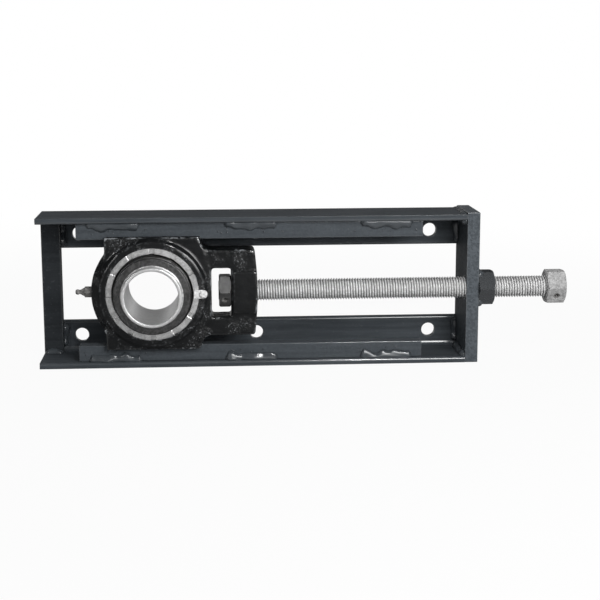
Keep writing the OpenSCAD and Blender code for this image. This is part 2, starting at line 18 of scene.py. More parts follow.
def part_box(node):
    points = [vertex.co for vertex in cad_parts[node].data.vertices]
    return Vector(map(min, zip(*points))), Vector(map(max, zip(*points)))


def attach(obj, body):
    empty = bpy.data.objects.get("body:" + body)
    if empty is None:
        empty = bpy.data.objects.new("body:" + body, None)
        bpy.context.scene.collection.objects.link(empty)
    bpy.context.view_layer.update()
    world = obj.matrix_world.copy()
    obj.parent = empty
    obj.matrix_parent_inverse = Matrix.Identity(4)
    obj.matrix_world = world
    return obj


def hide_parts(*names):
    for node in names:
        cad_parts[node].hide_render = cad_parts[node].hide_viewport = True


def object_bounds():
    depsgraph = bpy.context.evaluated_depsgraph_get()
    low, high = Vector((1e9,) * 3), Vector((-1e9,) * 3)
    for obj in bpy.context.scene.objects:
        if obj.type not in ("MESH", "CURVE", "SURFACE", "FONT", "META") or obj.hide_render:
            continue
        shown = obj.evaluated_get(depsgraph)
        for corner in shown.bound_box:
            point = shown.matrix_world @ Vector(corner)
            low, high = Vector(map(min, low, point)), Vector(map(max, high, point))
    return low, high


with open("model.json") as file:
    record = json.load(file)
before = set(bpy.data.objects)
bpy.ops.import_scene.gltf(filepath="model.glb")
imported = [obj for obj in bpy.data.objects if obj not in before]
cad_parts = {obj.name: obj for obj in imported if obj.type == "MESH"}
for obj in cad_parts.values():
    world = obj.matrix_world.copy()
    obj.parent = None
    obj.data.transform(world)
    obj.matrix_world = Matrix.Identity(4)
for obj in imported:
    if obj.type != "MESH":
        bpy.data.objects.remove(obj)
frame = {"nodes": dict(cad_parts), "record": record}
nodes = frame["nodes"]
MM = 0.001
cad_low, cad_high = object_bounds()
print("nodes:", len(nodes), "box in mm:", [round(v / MM, 1) for v in cad_high - cad_low])

# %% [markdown]
# ## The camera
# The unit was photographed from a little above and a little to the left, with a long lens, so its
# edges stay almost parallel. The place and the angles below come from lining up the bolt holes, the
# bar ends and the screw with the picture. A rotation built from three plain angles is easier to
# adjust by hand than a matrix of nine numbers.

# %% Camera
CAMERA_PLACE = Vector((0.0677, -1.6288, 0.2922))
CAMERA_YAW = math.radians(-3.73)
CAMERA_PITCH = math.radians(10.595)
CAMERA_ROLL = math.radians(-0.115)
CAMERA_LENS = 83.67
SENSOR_WIDTH = 36.0


def add_object(name, data):
    """Makes an object from a mesh, a lamp or a camera and puts it into the scene."""
    made = bpy.data.objects.new(name, data)
    bpy.context.scene.collection.objects.link(made)
    return made


def make_camera():
    data = bpy.data.cameras.new("camera")
    data.sensor_fit = "HORIZONTAL"
    data.sensor_width = SENSOR_WIDTH
    data.lens = CAMERA_LENS
    camera = add_object("camera", data)
    turn = Matrix.Rotation(CAMERA_YAW, 4, "Z") @ Matrix.Rotation(math.radians(90) - CAMERA_PITCH, 4, "X")
    camera.matrix_world = Matrix.Translation(CAMERA_PLACE) @ turn @ Matrix.Rotation(CAMERA_ROLL, 4, "Z")
    bpy.context.scene.camera = camera


make_camera()
print("camera", round(CAMERA_PLACE.length, 3), "m from the bore, lens", CAMERA_LENS, "mm")

# %% [markdown]
# ## Arithmetic on sockets
# A finish is a small network of nodes, and most of it is arithmetic: one noise times a strength,
# plus another. Wiring each Math node by hand hides that. The class below wraps one output socket, so
# that `1 - mask * 0.5` reads as it would on paper and adds the Math nodes by itself. Colours and
# vectors stay away from it, because a Math node turns a colour grey.

# %% A socket that takes plain arithmetic
class Wire:
    """One output socket; each operator adds one Math node beside it."""

    def __init__(self, maker, socket):
        self.maker = maker
        self.socket = socket

    def math(self, operation, *values):
        return self.maker.node("ShaderNodeMath", {"operation": operation}, dict(enumerate(values)))

    def __add__(self, other):
        return self.math("ADD", self, other)

    def __sub__(self, other):
        return self.math("SUBTRACT", self, other)

    def __rsub__(self, other):
        return self.math("SUBTRACT", other, self)

    def __mul__(self, other):
        return self.math("MULTIPLY", self, other)

    def __pow__(self, other):
        return self.math("POWER", self, other)

    def __rpow__(self, other):
        return self.math("POWER", other, self)

    def __abs__(self):
        return self.math("ABSOLUTE", self)

    def at_least(self, other):
        return self.math("MAXIMUM", self, other)

    __radd__ = __add__
    __rmul__ = __mul__


print("sockets can be added, subtracted, multiplied and raised to a power")

# %% [markdown]
# ## One way to add a node
# A material and the world are both trees of nodes that end in one surface node, so they share one set
# of tools. A single method adds any node. It sets the node's own settings before its sockets, because
# a setting, such as the data type of a Mix node, decides which sockets the node has.

# %% Node trees
class NodeTree:
    """The nodes of a material or of the world."""

    def __init__(self, owner, surface, **constants):
        owner.use_nodes = True
        self.owner = owner
        self.tree = owner.node_tree
        self.surface = self.tree.nodes[surface]
        self.surface_from(**constants)

    def node(self, kind, settings=None, sockets=None, out=0):
        """Adds a node, sets its settings first, then its sockets, and returns one output."""
        made = self.tree.nodes.new(kind)
        for name, value in (settings or {}).items():
            setattr(made, name, value)
        for key, value in (sockets or {}).items():
            self.feed(made.inputs[key], value)
        return Wire(self, made.outputs[out])

    def feed(self, socket, value):
        """Links a wire to a socket, or sets a constant on it."""
        if isinstance(value, Wire):
            self.tree.links.new(value.socket, socket)
        else:
            socket.default_value = value

    def surface_from(self, **values):
        """Feeds the surface node, socket by socket, and returns the material or world."""
        for socket, value in values.items():
            self.feed(self.surface.inputs[socket.replace("_", " ")], value)
        return self.owner

    def part(self, vector, axis):
        """One component of a vector."""
        return self.node("ShaderNodeSeparateXYZ", None, {0: vector}, out=axis)

    def step(self, value, low, high):
        """Smooth rise from 0 to 1 as value goes from low to high."""
        settings = {"interpolation_type": "SMOOTHSTEP"}
        return self.node("ShaderNodeMapRange", settings, {"Value": value, 1: low, 2: high})


print("node tools ready")

# %% [markdown]
# ## One finish, one material
# Every finish starts as a Principled surface with its constant numbers set on the sockets. What
# changes over the surface is then worked out from the piece's own coordinates, in metres, so a
# pattern keeps its true size on every piece and travels with it when the carriage slides.

# %% Finishes
class Finish(NodeTree):
    """A material under construction."""

    def __init__(self, name, **constants):
        super().__init__(bpy.data.materials.new(name), "Principled BSDF", **constants)
        self.place = self.node("ShaderNodeTexCoord", out="Object")

    def geometry(self, out):
        """One output of the Geometry node."""
        return self.node("ShaderNodeNewGeometry", out=out)

    def from_axis(self, first, second):
        """Distance from the axis that is square to the two named ones."""
        a = self.part(self.place, first)
        b = self.part(self.place, second)
        return (a * a + b * b) ** 0.5

    def speckle(self, size, detail=2.0, rough=0.5, stretch=None):
        """Noise between 0 and 1 whose lumps are about `size` metres across."""
        where = self.place
        if stretch:
            where = self.node("ShaderNodeVectorMath", {"operation": "MULTIPLY"}, {0: where, 1: stretch})
        sockets = {"Vector": where, "Scale": 1 / size, "Detail": detail, "Roughness": rough}
        return self.node("ShaderNodeTexNoise", None, sockets)

    def patches(self, size, low, high, detail=2.0, rough=0.5, stretch=None):
        """Noise pushed apart to 0 and 1, so that it lies on the surface in patches."""
        return self.step(self.speckle(size, detail, rough, stretch), low, high)

    def shade(self, share, first, second):
        """Colour between two others."""
        return self.node("ShaderNodeMix", {"data_type": "RGBA"}, {0: share, 6: first, 7: second}, out=2)

    def bump(self, height, depth, onto=None):
        """Normal of a relief whose height, from 0 to 1, stands for `depth` metres."""
        sockets = {"Height": height, "Distance": depth, "Strength": 1.0}
        if onto is not None:
            sockets["Normal"] = onto
        return self.node("ShaderNodeBump", None, sockets)


def grey(level, warm=0.0):
    """Linear grey; a positive warmth leans to red, a negative one to blue."""
    return (level * (1 + warm), level, level * (1 - warm), 1.0)


finishes = {}
print("finish tools ready")

# %% [markdown]
# ## The floor
# The photograph has a white ground. The camera sees this floor as almost plain white, with a little
# of its true paint left near the unit to hold the contact shadow. The paint itself is greyer, so
# that it throws little light up under the screw.

# %% Floor
FLOOR_SIZE = 60.0
FLOOR_DROP = 0.2 * MM
FLOOR_GREY = grey(0.36)
FLOOR_SHADOW = 0.05  # share of the true paint that the camera sees near the unit
SHADOW_REACH = 0.5  # metres; the paint fades out from here to three times as far


def seen_directly(tree):
    """1 on camera and glass rays, 0 on rays that carry light to a surface."""
    camera_ray = tree.node("ShaderNodeLightPath", out="Is Camera Ray")
    glass_ray = tree.node("ShaderNodeLightPath", out="Is Transmission Ray")
    return camera_ray + glass_ray


def floor_white():
    finish = Finish("floor_white", Base_Color=FLOOR_GREY, Roughness=0.9)
    white = finish.node("ShaderNodeEmission", None, {"Color": grey(1.0), "Strength": 1.0})
    away = finish.node("ShaderNodeVectorMath", {"operation": "LENGTH"}, {0: finish.place}, out="Value")
    far = finish.step(away, SHADOW_REACH, 3 * SHADOW_REACH)
    share = seen_directly(finish) * (1 - FLOOR_SHADOW * (1 - far))
    paint = Wire(finish, finish.surface.outputs[0])
    mixed = finish.node("ShaderNodeMixShader", None, {0: share, 1: paint, 2: white})
    finish.feed(finish.tree.nodes["Material Output"].inputs["Surface"], mixed)
    return finish.owner


def mesh_from(name, bm):
    """Turns a bmesh into a mesh and frees it."""
    mesh = bpy.data.meshes.new(name)
    bm.to_mesh(mesh)
    bm.free()
    return mesh


def make_floor():
    bm = bmesh.new()
    bmesh.ops.create_grid(bm, x_segments=1, y_segments=1, size=FLOOR_SIZE / 2)
    floor = add_object("floor", mesh_from("floor", bm))
    floor.location = (0, 0, cad_low.z - FLOOR_DROP)
    floor.data.materials.append(floor_white())
    return floor


floor = make_floor()
print("floor at", round(floor.location.z / MM, 1), "mm")

# %% [markdown]
# ## The world
# A mirror sees a world that is white up to the horizon and dim above it, as in a studio with a low
# sweep, which is why a flat top stays dark. Matt faces get a weaker light from all round, stronger
# from the right and from behind, so that the back is not lost. A lamp behind the unit would do that
# too, but it would also show as a white spot in the bore, and this light has no reflection.

# %% World
HORIZON = (0.05, 0.15)  # heights between which a mirrored sweep goes dim
CEILING = 0.12  # what is left of it above them
MIRRORED = 0.74  # strength of the sweep in a mirror
AMBIENT = 0.17  # strength of the light on matt faces
SIDE_FALL = 0.75  # how much more of it comes from the right
BACK_LIFT = 7.0  # how much more of it comes from behind


def make_world():
    studio = NodeTree(bpy.data.worlds.new("studio"), "Background", Color=grey(1.0))
    bpy.context.scene.world = studio.owner
    direction = studio.node("ShaderNodeTexCoord", out="Generated")
    toward_right, toward_back, height = (studio.part(direction, axis) for axis in "XYZ")
    sweep = 1 - studio.step(height, *HORIZON) * (1 - CEILING)
    seen = seen_directly(studio)
    mirrored = studio.node("ShaderNodeLightPath", out="Is Glossy Ray")
    ambient = AMBIENT * (1 + SIDE_FALL * toward_right + BACK_LIFT * toward_back.at_least(0.0))
    around = mirrored * sweep * MIRRORED + (1 - mirrored) * ambient
    studio.surface_from(Strength=seen + (1 - seen) * around)


make_world()
bpy.context.scene.view_settings.view_transform = "Standard"
print("ambient", AMBIENT, "and", AMBIENT * (1 + BACK_LIFT), "from straight behind")

# %% [markdown]
# ## Four lamps
# The key stands close on the right and a broad fill behind the camera. Neither draws the fine lights
# that tell enamel from matt paint, because a broad lamp gives a broad reflection. So there is also a
# tiny lamp, which puts sparks on edges and grains, and a narrow strip on the left, which draws a line
# down the round side of the hub.

# %% Lamps
LAMPS = [
    # name, place, aim, width, height, watts
    ("key_from_right", (0.62, -0.90, 0.40), (0.18, 0, 0), 0.6, 0.4, 8.5),
    ("fill_behind_camera", (0.8, -2.3, 0.3), (0.1, 0, 0), 1.0, 0.5, 5.5),
    ("spark", (0.40, -1.10, 0.95), (0.0, 0, 0), 0.08, 0.08, 4.5),
    ("rim_from_left", (-0.9, -1.1, 0.45), (-0.05, 0, 0), 0.06, 0.5, 3.0),
]


def make_lamp(name, place, aim, width, height, watts):
    data = bpy.data.lights.new(name, "AREA")
    data.shape = "RECTANGLE"
    data.size = width
    data.size_y = height
    data.energy = watts
    lamp = add_object(name, data)
    lamp.location = place
    lamp.rotation_euler = (Vector(aim) - Vector(place)).to_track_quat("-Z", "Y").to_euler()


for lamp in LAMPS:
    make_lamp(*lamp)
print("lamps:", len(LAMPS))

# %% [markdown]
# ## Finding edges
# Real edges are never knife sharp, and paint, rubbing and light all treat them differently from open
# faces. The Bevel node gives the normal that each edge would have if it were rounded. Where that
# normal leaves the true one, the finish rubs through. Where it points between two axes, the surface
# turns from one face to the next, and shines.

# %% Edge masks
BEVEL_SAMPLES = 6
EDGE_TURN = (0.02, 0.15)  # 1 minus the cosine between the two normals


def rounded_normal(finish, radius):
    """Normal of the piece as if its edges were rounded by the radius."""
    return finish.node("ShaderNodeBevel", {"samples": BEVEL_SAMPLES}, {"Radius": radius})


def edge_mask(finish, rounded):
    """1 where the rounded normal leaves the true one, 0 on open faces."""
    sockets = {0: rounded, 1: finish.geometry("Normal")}
    along = finish.node("ShaderNodeVectorMath", {"operation": "DOT_PRODUCT"}, sockets, out="Value")
    return finish.step(1 - along, *EDGE_TURN)


def off_square(finish, normal):
    """0 on faces square to X, Y or Z, more where the surface turns from one to the next."""
    size = finish.node("ShaderNodeVectorMath", {"operation": "ABSOLUTE"}, {0: normal})
    x, y, z = (finish.part(size, axis) for axis in "XYZ")
    return 1 - x.at_least(y).at_least(z)


print("edge wear runs from", EDGE_TURN[0], "to", EDGE_TURN[1])

# %% [markdown]
# ## Charcoal paint on rolled steel
# The frame was sprayed after welding. Such paint is satin, a touch blue, and slightly wavy, which
# painters call orange peel. Under it lies mill scale with long faint streaks along the bar. Paint
# draws back over an edge and shines there, and where it is thin it rubs through to a lighter grey.
# One recipe serves every painted piece: the end plate, with its saw-cut edge, is patchier, lighter as
# painted light and darker on its faces square to X as painted shade; the bars are a little lighter as
# painted light, the crossbar darker as painted shade, a bead glossier.

# %% Frame paint
ALONG_BAR = (0.06, 1.0, 1.0)
PAINT_DARK = 0.038
PAINT_DARK_TINT = -0.14
PAINT_LIGHT = 0.074
PAINT_LIGHT_TINT = -0.12
PAINT_EDGE = 1.5 * MM
SHINE_TURN = (0.001, 0.015)  # how far off square a painted edge begins to shine
FACES_X = (0.5, 0.9)  # from slanted to square
FLECK_GREY = grey(0.14, -0.05)
WORN_GREY = grey(0.20, -0.06)
PAINTS = [
    # name, lift (painted light on the bars and the end plate, painted shade on the crossbar), mottle,
    # gloss, edge gloss, light tone left on faces square to X (the rest is painted shade)
    ("frame_paint", 1.0, 0.0, 0.0, 0.9, 1.0),
    # painted shade: the crossbar's copy of the paint is darker
    ("shade_paint", 0.42, 0.0, 0.0, 0.9, 1.0),
    ("nut_paint", 0.45, 0.5, 0.0, 0.9, 1.0),
    # painted light: the bars' copy of the paint is lighter
    ("bar_paint", 1.10, 0.35, 0.03, 0.9, 1.0),
    # painted light on the end plate, with painted shade on its faces square to X
    ("cut_edge_paint", 1.35, 1.0, 0.05, 0.9, 0.0),
    ("bead_paint", 0.9, 0.15, 0.22, 0.30, 1.0),
]


def frame_paint(name, lift, mottle, gloss, edge_gloss, sides):
    """Charcoal paint; lift scales its tone, which on some pieces is painted light and on one painted
    shade, mottle makes it patchy, the glosses are its coat.
    """
    finish = Finish(name, Specular_IOR_Level=0.08, Coat_Roughness=0.16, Coat_IOR=1.9)
    streaks = finish.patches(5 * MM, 0.30, 0.70, 3.0, stretch=ALONG_BAR)
    clouds = finish.speckle(35 * MM, 3.0)
    blots = finish.patches(2.8 * MM, 0.34, 0.66, 1.0)
    peel = finish.speckle(1.6 * MM, 1.0)
    flecks = finish.patches(2.6 * MM, 0.64, 0.72)
    rounded = rounded_normal(finish, PAINT_EDGE)
    edges = finish.step(off_square(finish, rounded), *SHINE_TURN)
    worn = edge_mask(finish, rounded) * finish.patches(9 * MM, 0.42, 0.60, 3.0)
    painted_shade_sides = finish.step(abs(finish.part(finish.geometry("Normal"), "X")), *FACES_X)
    share = clouds * 0.5 + streaks * (0.5 - mottle * 0.5) + blots * (mottle * 0.5)
    # painted shade: with sides below 1, faces square to X lose the light tone
    share = share * (1 - (1 - sides) * painted_shade_sides)
    dark = grey(PAINT_DARK * lift, PAINT_DARK_TINT)
    light = grey(PAINT_LIGHT * lift, PAINT_LIGHT_TINT)
    tone = finish.shade(share, dark, light)
    tone = finish.shade(flecks * 0.15, tone, FLECK_GREY)
    tone = finish.shade(worn * 0.30, tone, WORN_GREY)
    rough = 0.50 + clouds * 0.12
    coat = gloss + edges * edge_gloss + flecks * 0.12
    relief = finish.bump(peel, 0.05 * MM, rounded)
    relief = finish.bump(streaks * (1 - mottle) + blots * mottle, (0.05 + 0.35 * mottle) * MM, relief)
    return finish.surface_from(Base_Color=tone, Roughness=rough, Coat_Weight=coat, Normal=relief)


for paint in PAINTS:
    finishes[paint[0]] = frame_paint(*paint)
print("paints:", ", ".join(finishes))

# %% [markdown]
# ## Black enamel on a sand casting
# The housing was poured into sand. Its skin keeps the grain of the mould, and the enamel over it is
# glossy, so each grain throws its own spark of light. Cells of a Voronoi pattern make the grains. They
# are bump, because as geometry they would need millions of faces. Slow noise says where the skin is
# rough, and the machined pad beside the screw stays smooth. Enamel runs thick over ridges and into
# hollows, so Pointiness puts more gloss there, and dust dulls what faces up. The finest sparks, and
# broken lights along the ridges, are painted highlights in the colour, since a small picture loses a
# spark that is only bump.

# %% Housing enamel
PAD_LEFT = 82 * MM
PAD_TOP = 26 * MM
WAVE_SIZE = 16 * MM
WAVE_DEPTH = 0.8 * MM
GRAIN_SIZE = 3.8 * MM
GRAIN_DEPTH = 1.6 * MM
RIDGE_BEND = (0.508, 0.545)  # Pointiness, which is 0.5 on a flat face
HOLLOW_BEND = (0.465, 0.493)
FACES_UP = (0.6, 0.9)  # from slanted to level
ENAMEL_DARK = grey(0.0035, -0.1)
ENAMEL_LIGHT = grey(0.0075, -0.1)
SPARK_GREY = grey(0.62, -0.05)


def on_pad(finish):
    """1 on the machined pad beside the screw."""
    right = finish.step(finish.part(finish.place, "X"), PAD_LEFT, PAD_LEFT + MM)
    from_middle = abs(finish.part(finish.place, "Z"))
    return right * (1 - finish.step(from_middle, PAD_TOP - MM, PAD_TOP))


def housing_enamel():
    finish = Finish("housing_enamel", Specular_IOR_Level=0.10, Coat_Roughness=0.10, Coat_IOR=1.9)
    waves = finish.speckle(WAVE_SIZE)
    grains = finish.node("ShaderNodeTexVoronoi", None, {"Vector": finish.place, "Scale": 1 / GRAIN_SIZE})
    rough_patch = finish.patches(22 * MM, 0.44, 0.64) * (1 - on_pad(finish))
    dust = finish.step(finish.part(finish.geometry("Normal"), "Z"), *FACES_UP)
    bend = finish.geometry("Pointiness")
    ridge = finish.step(bend, *RIDGE_BEND)
    hollow = 1 - finish.step(bend, *HOLLOW_BEND)
    sparks = finish.patches(1.9 * MM, 0.58, 0.72, 1.0) * rough_patch
    painted_ridge_highlight = finish.patches(4 * MM, 0.42, 0.60, 1.0) * ridge * finish.patches(30 * MM, 0.42, 0.62, 1.0)
    tone = finish.shade(waves, ENAMEL_DARK, ENAMEL_LIGHT)
    # painted highlights: sparks on the rough skin and broken lights along ridges
    tone = finish.shade(sparks * 0.22 + painted_ridge_highlight * 0.45, tone, SPARK_GREY)
    rough = 0.34 + waves * 0.12
    coat = (0.12 + rough_patch * 0.25 + ridge * 0.8 + hollow * 0.6) * (1 - dust * 0.85)
    relief = finish.bump((1 - grains * grains) * (0.10 + rough_patch * 0.90), GRAIN_DEPTH)
    relief = finish.bump(waves, WAVE_DEPTH, relief)
    return finish.surface_from(Base_Color=tone, Roughness=rough, Coat_Weight=coat, Normal=relief)


finishes["housing_paint"] = housing_enamel()
print("enamel with grains of", GRAIN_SIZE / MM, "mm")

# %% [markdown]
# ## Turned steel
# Rings and collars come off a lathe, so their tool marks are circles round the bore. Distance from
# the bore's axis plus depth along it gives one number that changes across the marks and stays the
# same along them, on flat faces and on cylinders alike. A one-dimensional noise of that number is
# the lathe's signature. The same recipe serves bright rings and blackened collars, and the collars
# keep a bare rim next to the bore, where they were ground together with the ring.

# %% Turned finishes
LATHE_PITCH = 0.9 * MM
TURNED_EDGE = 0.6 * MM
STAIN_DEPTH = 0.03 * MM
RIM_FADE = 0.3 * MM
BARE_DARK = grey(0.40)
BARE_LIGHT = grey(0.85)
BARE_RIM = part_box("front_collar")[1].x - 8.5 * MM
STEELS = {
    # name, dark, light and rim grey (rubbed edges with painted edge highlights), least and most roughness,
    # groove depth, metal, bare radius
    "bright_steel": ("bright_turned_steel", 0.38, 0.88, 0.92, 0.26, 0.44, 0.05 * MM, 1.0, None),
    "ground_steel": ("ground_steel", 0.70, 0.98, 0.98, 0.24, 0.40, 0.03 * MM, 0.88, None),
    "dark_steel": ("blackened_turned_steel", 0.025, 0.14, 0.5, 0.26, 0.42, 0.12 * MM, 0.8, BARE_RIM),
}


def lathe_marks(finish, pitch):
    """Noise that runs in circles round the bore's axis, which is Y."""
    across = finish.from_axis("X", "Z") + finish.part(finish.place, "Y")
    settings = {"noise_dimensions": "1D"}
    return finish.node("ShaderNodeTexNoise", settings, {"W": across, "Scale": 1 / pitch, "Detail": 3.0})


def turned_steel(name, dark, light, rim, rough_low, rough_high, groove, metal, bare):
    """Turned steel; with a bare radius, what lies nearer to the bore's axis than that is bright."""
    finish = Finish(name, Metallic=metal)
    marks = lathe_marks(finish, LATHE_PITCH)
    stain = finish.speckle(9 * MM, 3.0)
    blotch = finish.patches(3.6 * MM, 0.34, 0.66, rough=0.6)
    rounded = rounded_normal(finish, TURNED_EDGE)
    scratch = finish.patches(3 * MM, 0.60, 0.72, 4.0, 0.7, stretch=(1.0, 1.0, 0.25))
    tone = finish.shade(marks * 0.35 + stain * 0.25 + blotch * 0.4, grey(dark), grey(light))
    # rubbed wear and painted highlight: scratches and edges lightened toward the rim grey
    tone = finish.shade(scratch * 0.3 + edge_mask(finish, rounded) * 0.6, tone, grey(rim))
    if bare:
        inside = 1 - finish.step(finish.from_axis("X", "Z"), bare - RIM_FADE, bare)
        tone = finish.shade(inside, tone, finish.shade(blotch, BARE_DARK, BARE_LIGHT))
    rough = rough_low + (marks * 0.5 + stain * 0.5) * (rough_high - rough_low)
    relief = finish.bump(marks, groove, rounded)
    relief = finish.bump(stain, STAIN_DEPTH, relief)
    return finish.surface_from(Base_Color=tone, Roughness=rough, Normal=relief)


for finish_name, numbers in STEELS.items():
    finishes[finish_name] = turned_steel(*numbers)
print("turned finishes:", ", ".join(STEELS))

# %% [markdown]
# ## Galvanised zinc
# The screw and its end nut were dipped in molten zinc. Zinc freezes in crystals, dull next to
# bright, and leaves small runs. Voronoi cells give the crystals, and the root of the thread, found by
# its distance from the screw's axis, is darkened with painted shade.

# %% Zinc
CRYSTAL_SIZE = 3.5 * MM
RUN_DEPTH = 0.22 * MM
ROOT_FADE = 1.0 * MM
ROOT_SHADE_GREY = grey(0.08)
ZINCS = {
    # name, dark and light grey, warmth, metal, root radius
    "zinc": ("galvanised_zinc", 0.22, 0.46, 0.0, 0.1, None),
    "thread_zinc": ("galvanised_thread", 0.66, 0.98, 0.0, 0.65, 11.0 * MM),
    "fitting_zinc": ("dull_zinc", 0.10, 0.34, 0.02, 0.3, None),
    "bright_zinc": ("bright_zinc", 0.60, 0.95, 0.0, 0.2, None),
}


def galvanised_zinc(name, dark, light, warmth, metal, root):
    """Zinc; with a root radius, what lies nearer to the screw's axis than that is darkened as painted
    shade.
    """
    finish = Finish(name, Metallic=metal, Specular_IOR_Level=0.15)
    sockets = {"Vector": finish.place, "Scale": 1 / CRYSTAL_SIZE}
    cells = finish.node("ShaderNodeTexVoronoi", None, sockets, out="Color")
    crystal = finish.node("ShaderNodeSeparateColor", None, {0: cells})
    runs = finish.speckle(2.6 * MM, 3.0, 0.6)
    grain = finish.speckle(0.9 * MM)
    dull = finish.step(runs, 0.35, 0.68)
    tone = finish.shade(crystal * 0.35 + dull * 0.65, grey(dark, warmth), grey(light, warmth))
    if root:
        # painted shade in the root of the thread
        painted_root_shade = 1 - finish.step(finish.from_axis("Y", "Z"), root, root + ROOT_FADE)
        tone = finish.shade(painted_root_shade * 0.8, tone, ROOT_SHADE_GREY)
    rough = 0.52 + dull * 0.16 + crystal * 0.06
    relief = finish.bump(runs * 0.7 + grain * 0.3, RUN_DEPTH)
    return finish.surface_from(Base_Color=tone, Roughness=rough, Normal=relief)


for finish_name, numbers in ZINCS.items():
    finishes[finish_name] = galvanised_zinc(*numbers)
print("zinc finishes:", ", ".join(ZINCS))

# %% [markdown]
# ## Black oxide and rubber
# The inner nut is blackened and oiled, so it is dark but still metal, and its corners are rubbed
# bare here and there. The seals are moulded rubber with a dusty bloom and the rings of their mould.

# %% Black oxide and rubber
OXIDE_EDGE = 0.7 * MM
OXIDE_GRAIN_DEPTH = 0.06 * MM
MOULD_PITCH = 1.4 * MM
MOULD_DEPTH = 0.08 * MM


def black_oxide():
    finish = Finish("black_oxide", Metallic=0.7)
    smoke = finish.speckle(6 * MM, 3.0)
    grain = finish.speckle(0.7 * MM)
    rounded = rounded_normal(finish, OXIDE_EDGE)
    rubbed = edge_mask(finish, rounded) * finish.patches(3 * MM, 0.4, 0.6)
    tone = finish.shade(smoke, grey(0.06), grey(0.16))
    tone = finish.shade(rubbed * 0.7, tone, grey(0.32))
    rough = 0.32 + smoke * 0.15
    relief = finish.bump(grain, OXIDE_GRAIN_DEPTH)
    return finish.surface_from(Base_Color=tone, Roughness=rough, Normal=relief)


def seal_rubber():
    finish = Finish("seal_rubber", Specular_IOR_Level=0.35)
    bloom = finish.speckle(5 * MM, 3.0)
    tone = finish.shade(bloom, grey(0.010), grey(0.028))
    rough = 0.5 + bloom * 0.2
    relief = finish.bump(lathe_marks(finish, MOULD_PITCH), MOULD_DEPTH)
    return finish.surface_from(Base_Color=tone, Roughness=rough, Normal=relief)


finishes["black_oxide"] = black_oxide()
finishes["seal"] = seal_rubber()
print("all finishes:", ", ".join(finishes))

# %% [markdown]
# ## Which finish goes where
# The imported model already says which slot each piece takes. A short table adds the few pieces that
# look different from the rest of their slot. Sharp machined edges do not exist on real parts, so
# each flat-sided piece also gets a narrow rounded edge by modifiers, which leaves its mesh alone:
# weld the split corners, merge the flat triangles, bevel what is left, and set the normals by area.

# %% Finishes and edges on the solids
SPECIAL_FINISH = {
    "inner_nut": "black_oxide", "nut_pins": "fitting_zinc", "collar_set_screws": "black_oxide",
    "upper_guide_bar": "bar_paint", "lower_guide_bar": "bar_paint", "end_plate": "cut_edge_paint",
    "crossbar": "shade_paint", "frame_nut": "nut_paint", "inner_ring": "ground_steel",
    "grease_fitting": "fitting_zinc", "lock_tab": "bright_zinc", "lock_screw": "bright_zinc",
}
EDGE_WIDTH = {  # millimetres
    "upper_angle": 1.4, "lower_angle": 1.2, "crossbar": 0.9, "end_plate": 1.1,
    "upper_guide_bar": 0.9, "lower_guide_bar": 0.9, "frame_nut": 0.9, "wrench_nut": 0.8, "inner_nut": 0.7,
    "notched_ring": 0.35, "lock_tab": 0.35, "lock_screw": 0.25, "grease_fitting": 0.25,
    "inner_ring": 0.3, "front_collar": 0.35, "rear_collar": 0.35,
}
SAME_POINT = 0.002 * MM
FLAT_ANGLE = math.radians(0.6)
BEVEL_ANGLE = math.radians(28)
BEVEL_STEPS = 3
slot_of = {entry["node"]: entry["material_slot"] for entry in frame["record"]["subparts"]}


def round_edges(piece, width):
    weld = piece.modifiers.new("weld_corners", "WELD")
    weld.merge_threshold = SAME_POINT
    flat = piece.modifiers.new("merge_flats", "DECIMATE")
    flat.decimate_type = "DISSOLVE"
    flat.angle_limit = FLAT_ANGLE
    bevel = piece.modifiers.new("round_edges", "BEVEL")
    bevel.width = width
    bevel.segments = BEVEL_STEPS
    bevel.limit_method = "ANGLE"
    bevel.angle_limit = BEVEL_ANGLE
    bevel.use_clamp_overlap = True
    normals = piece.modifiers.new("area_normals", "WEIGHTED_NORMAL")
    normals.keep_sharp = False


for name, piece in nodes.items():
    key = SPECIAL_FINISH.get(name, slot_of[name])
    piece.data.materials.clear()
    piece.data.materials.append(finishes[key])
    if name in EDGE_WIDTH:
        round_edges(piece, EDGE_WIDTH[name] * MM)
print("slots:", sorted(set(slot_of.values())), "edges rounded on", len(EDGE_WIDTH), "pieces")

# %% [markdown]
# ## Adding a piece
# A new piece needs the same four things each time: a mesh, a finish, the body that it moves with, and
# the solid that it stands for. One function does all four, so that no piece can be left behind when
# the carriage slides. The other tools here make plain rods and blocks and cut them out of a piece,
# as a drill or a mill would.

# %% Piece maker
def add_piece(name, bm, body, slot, stands_for, finish=None):
    """Makes a mesh a piece of the model; without a finish it takes its slot's own."""
    mesh = mesh_from(name, bm)
    mesh.shade_smooth()
    piece = add_object(name, mesh)
    piece.data.materials.append(finishes[finish or slot])
    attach(piece, body)
    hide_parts(stands_for)
    print(name, len(mesh.polygons), "faces on", body)
    return piece


def apply_modifier(piece, kind, **settings):
    """Adds one modifier with its settings and makes its result the mesh."""
    modifier = piece.modifiers.new("work", kind)
    for name, value in settings.items():
        setattr(modifier, name, value)
    bpy.context.view_layer.objects.active = piece
    bpy.ops.object.modifier_apply(modifier=modifier.name)


def cut_away(piece, cutter_bm):
    """Cuts one closed shell out of a piece, with crisp edges."""
    cutter = add_object("cutter", mesh_from("cutter", cutter_bm))
    apply_modifier(piece, "BOOLEAN", operation="DIFFERENCE", object=cutter, solver="MANIFOLD")
    bpy.data.objects.remove(cutter)


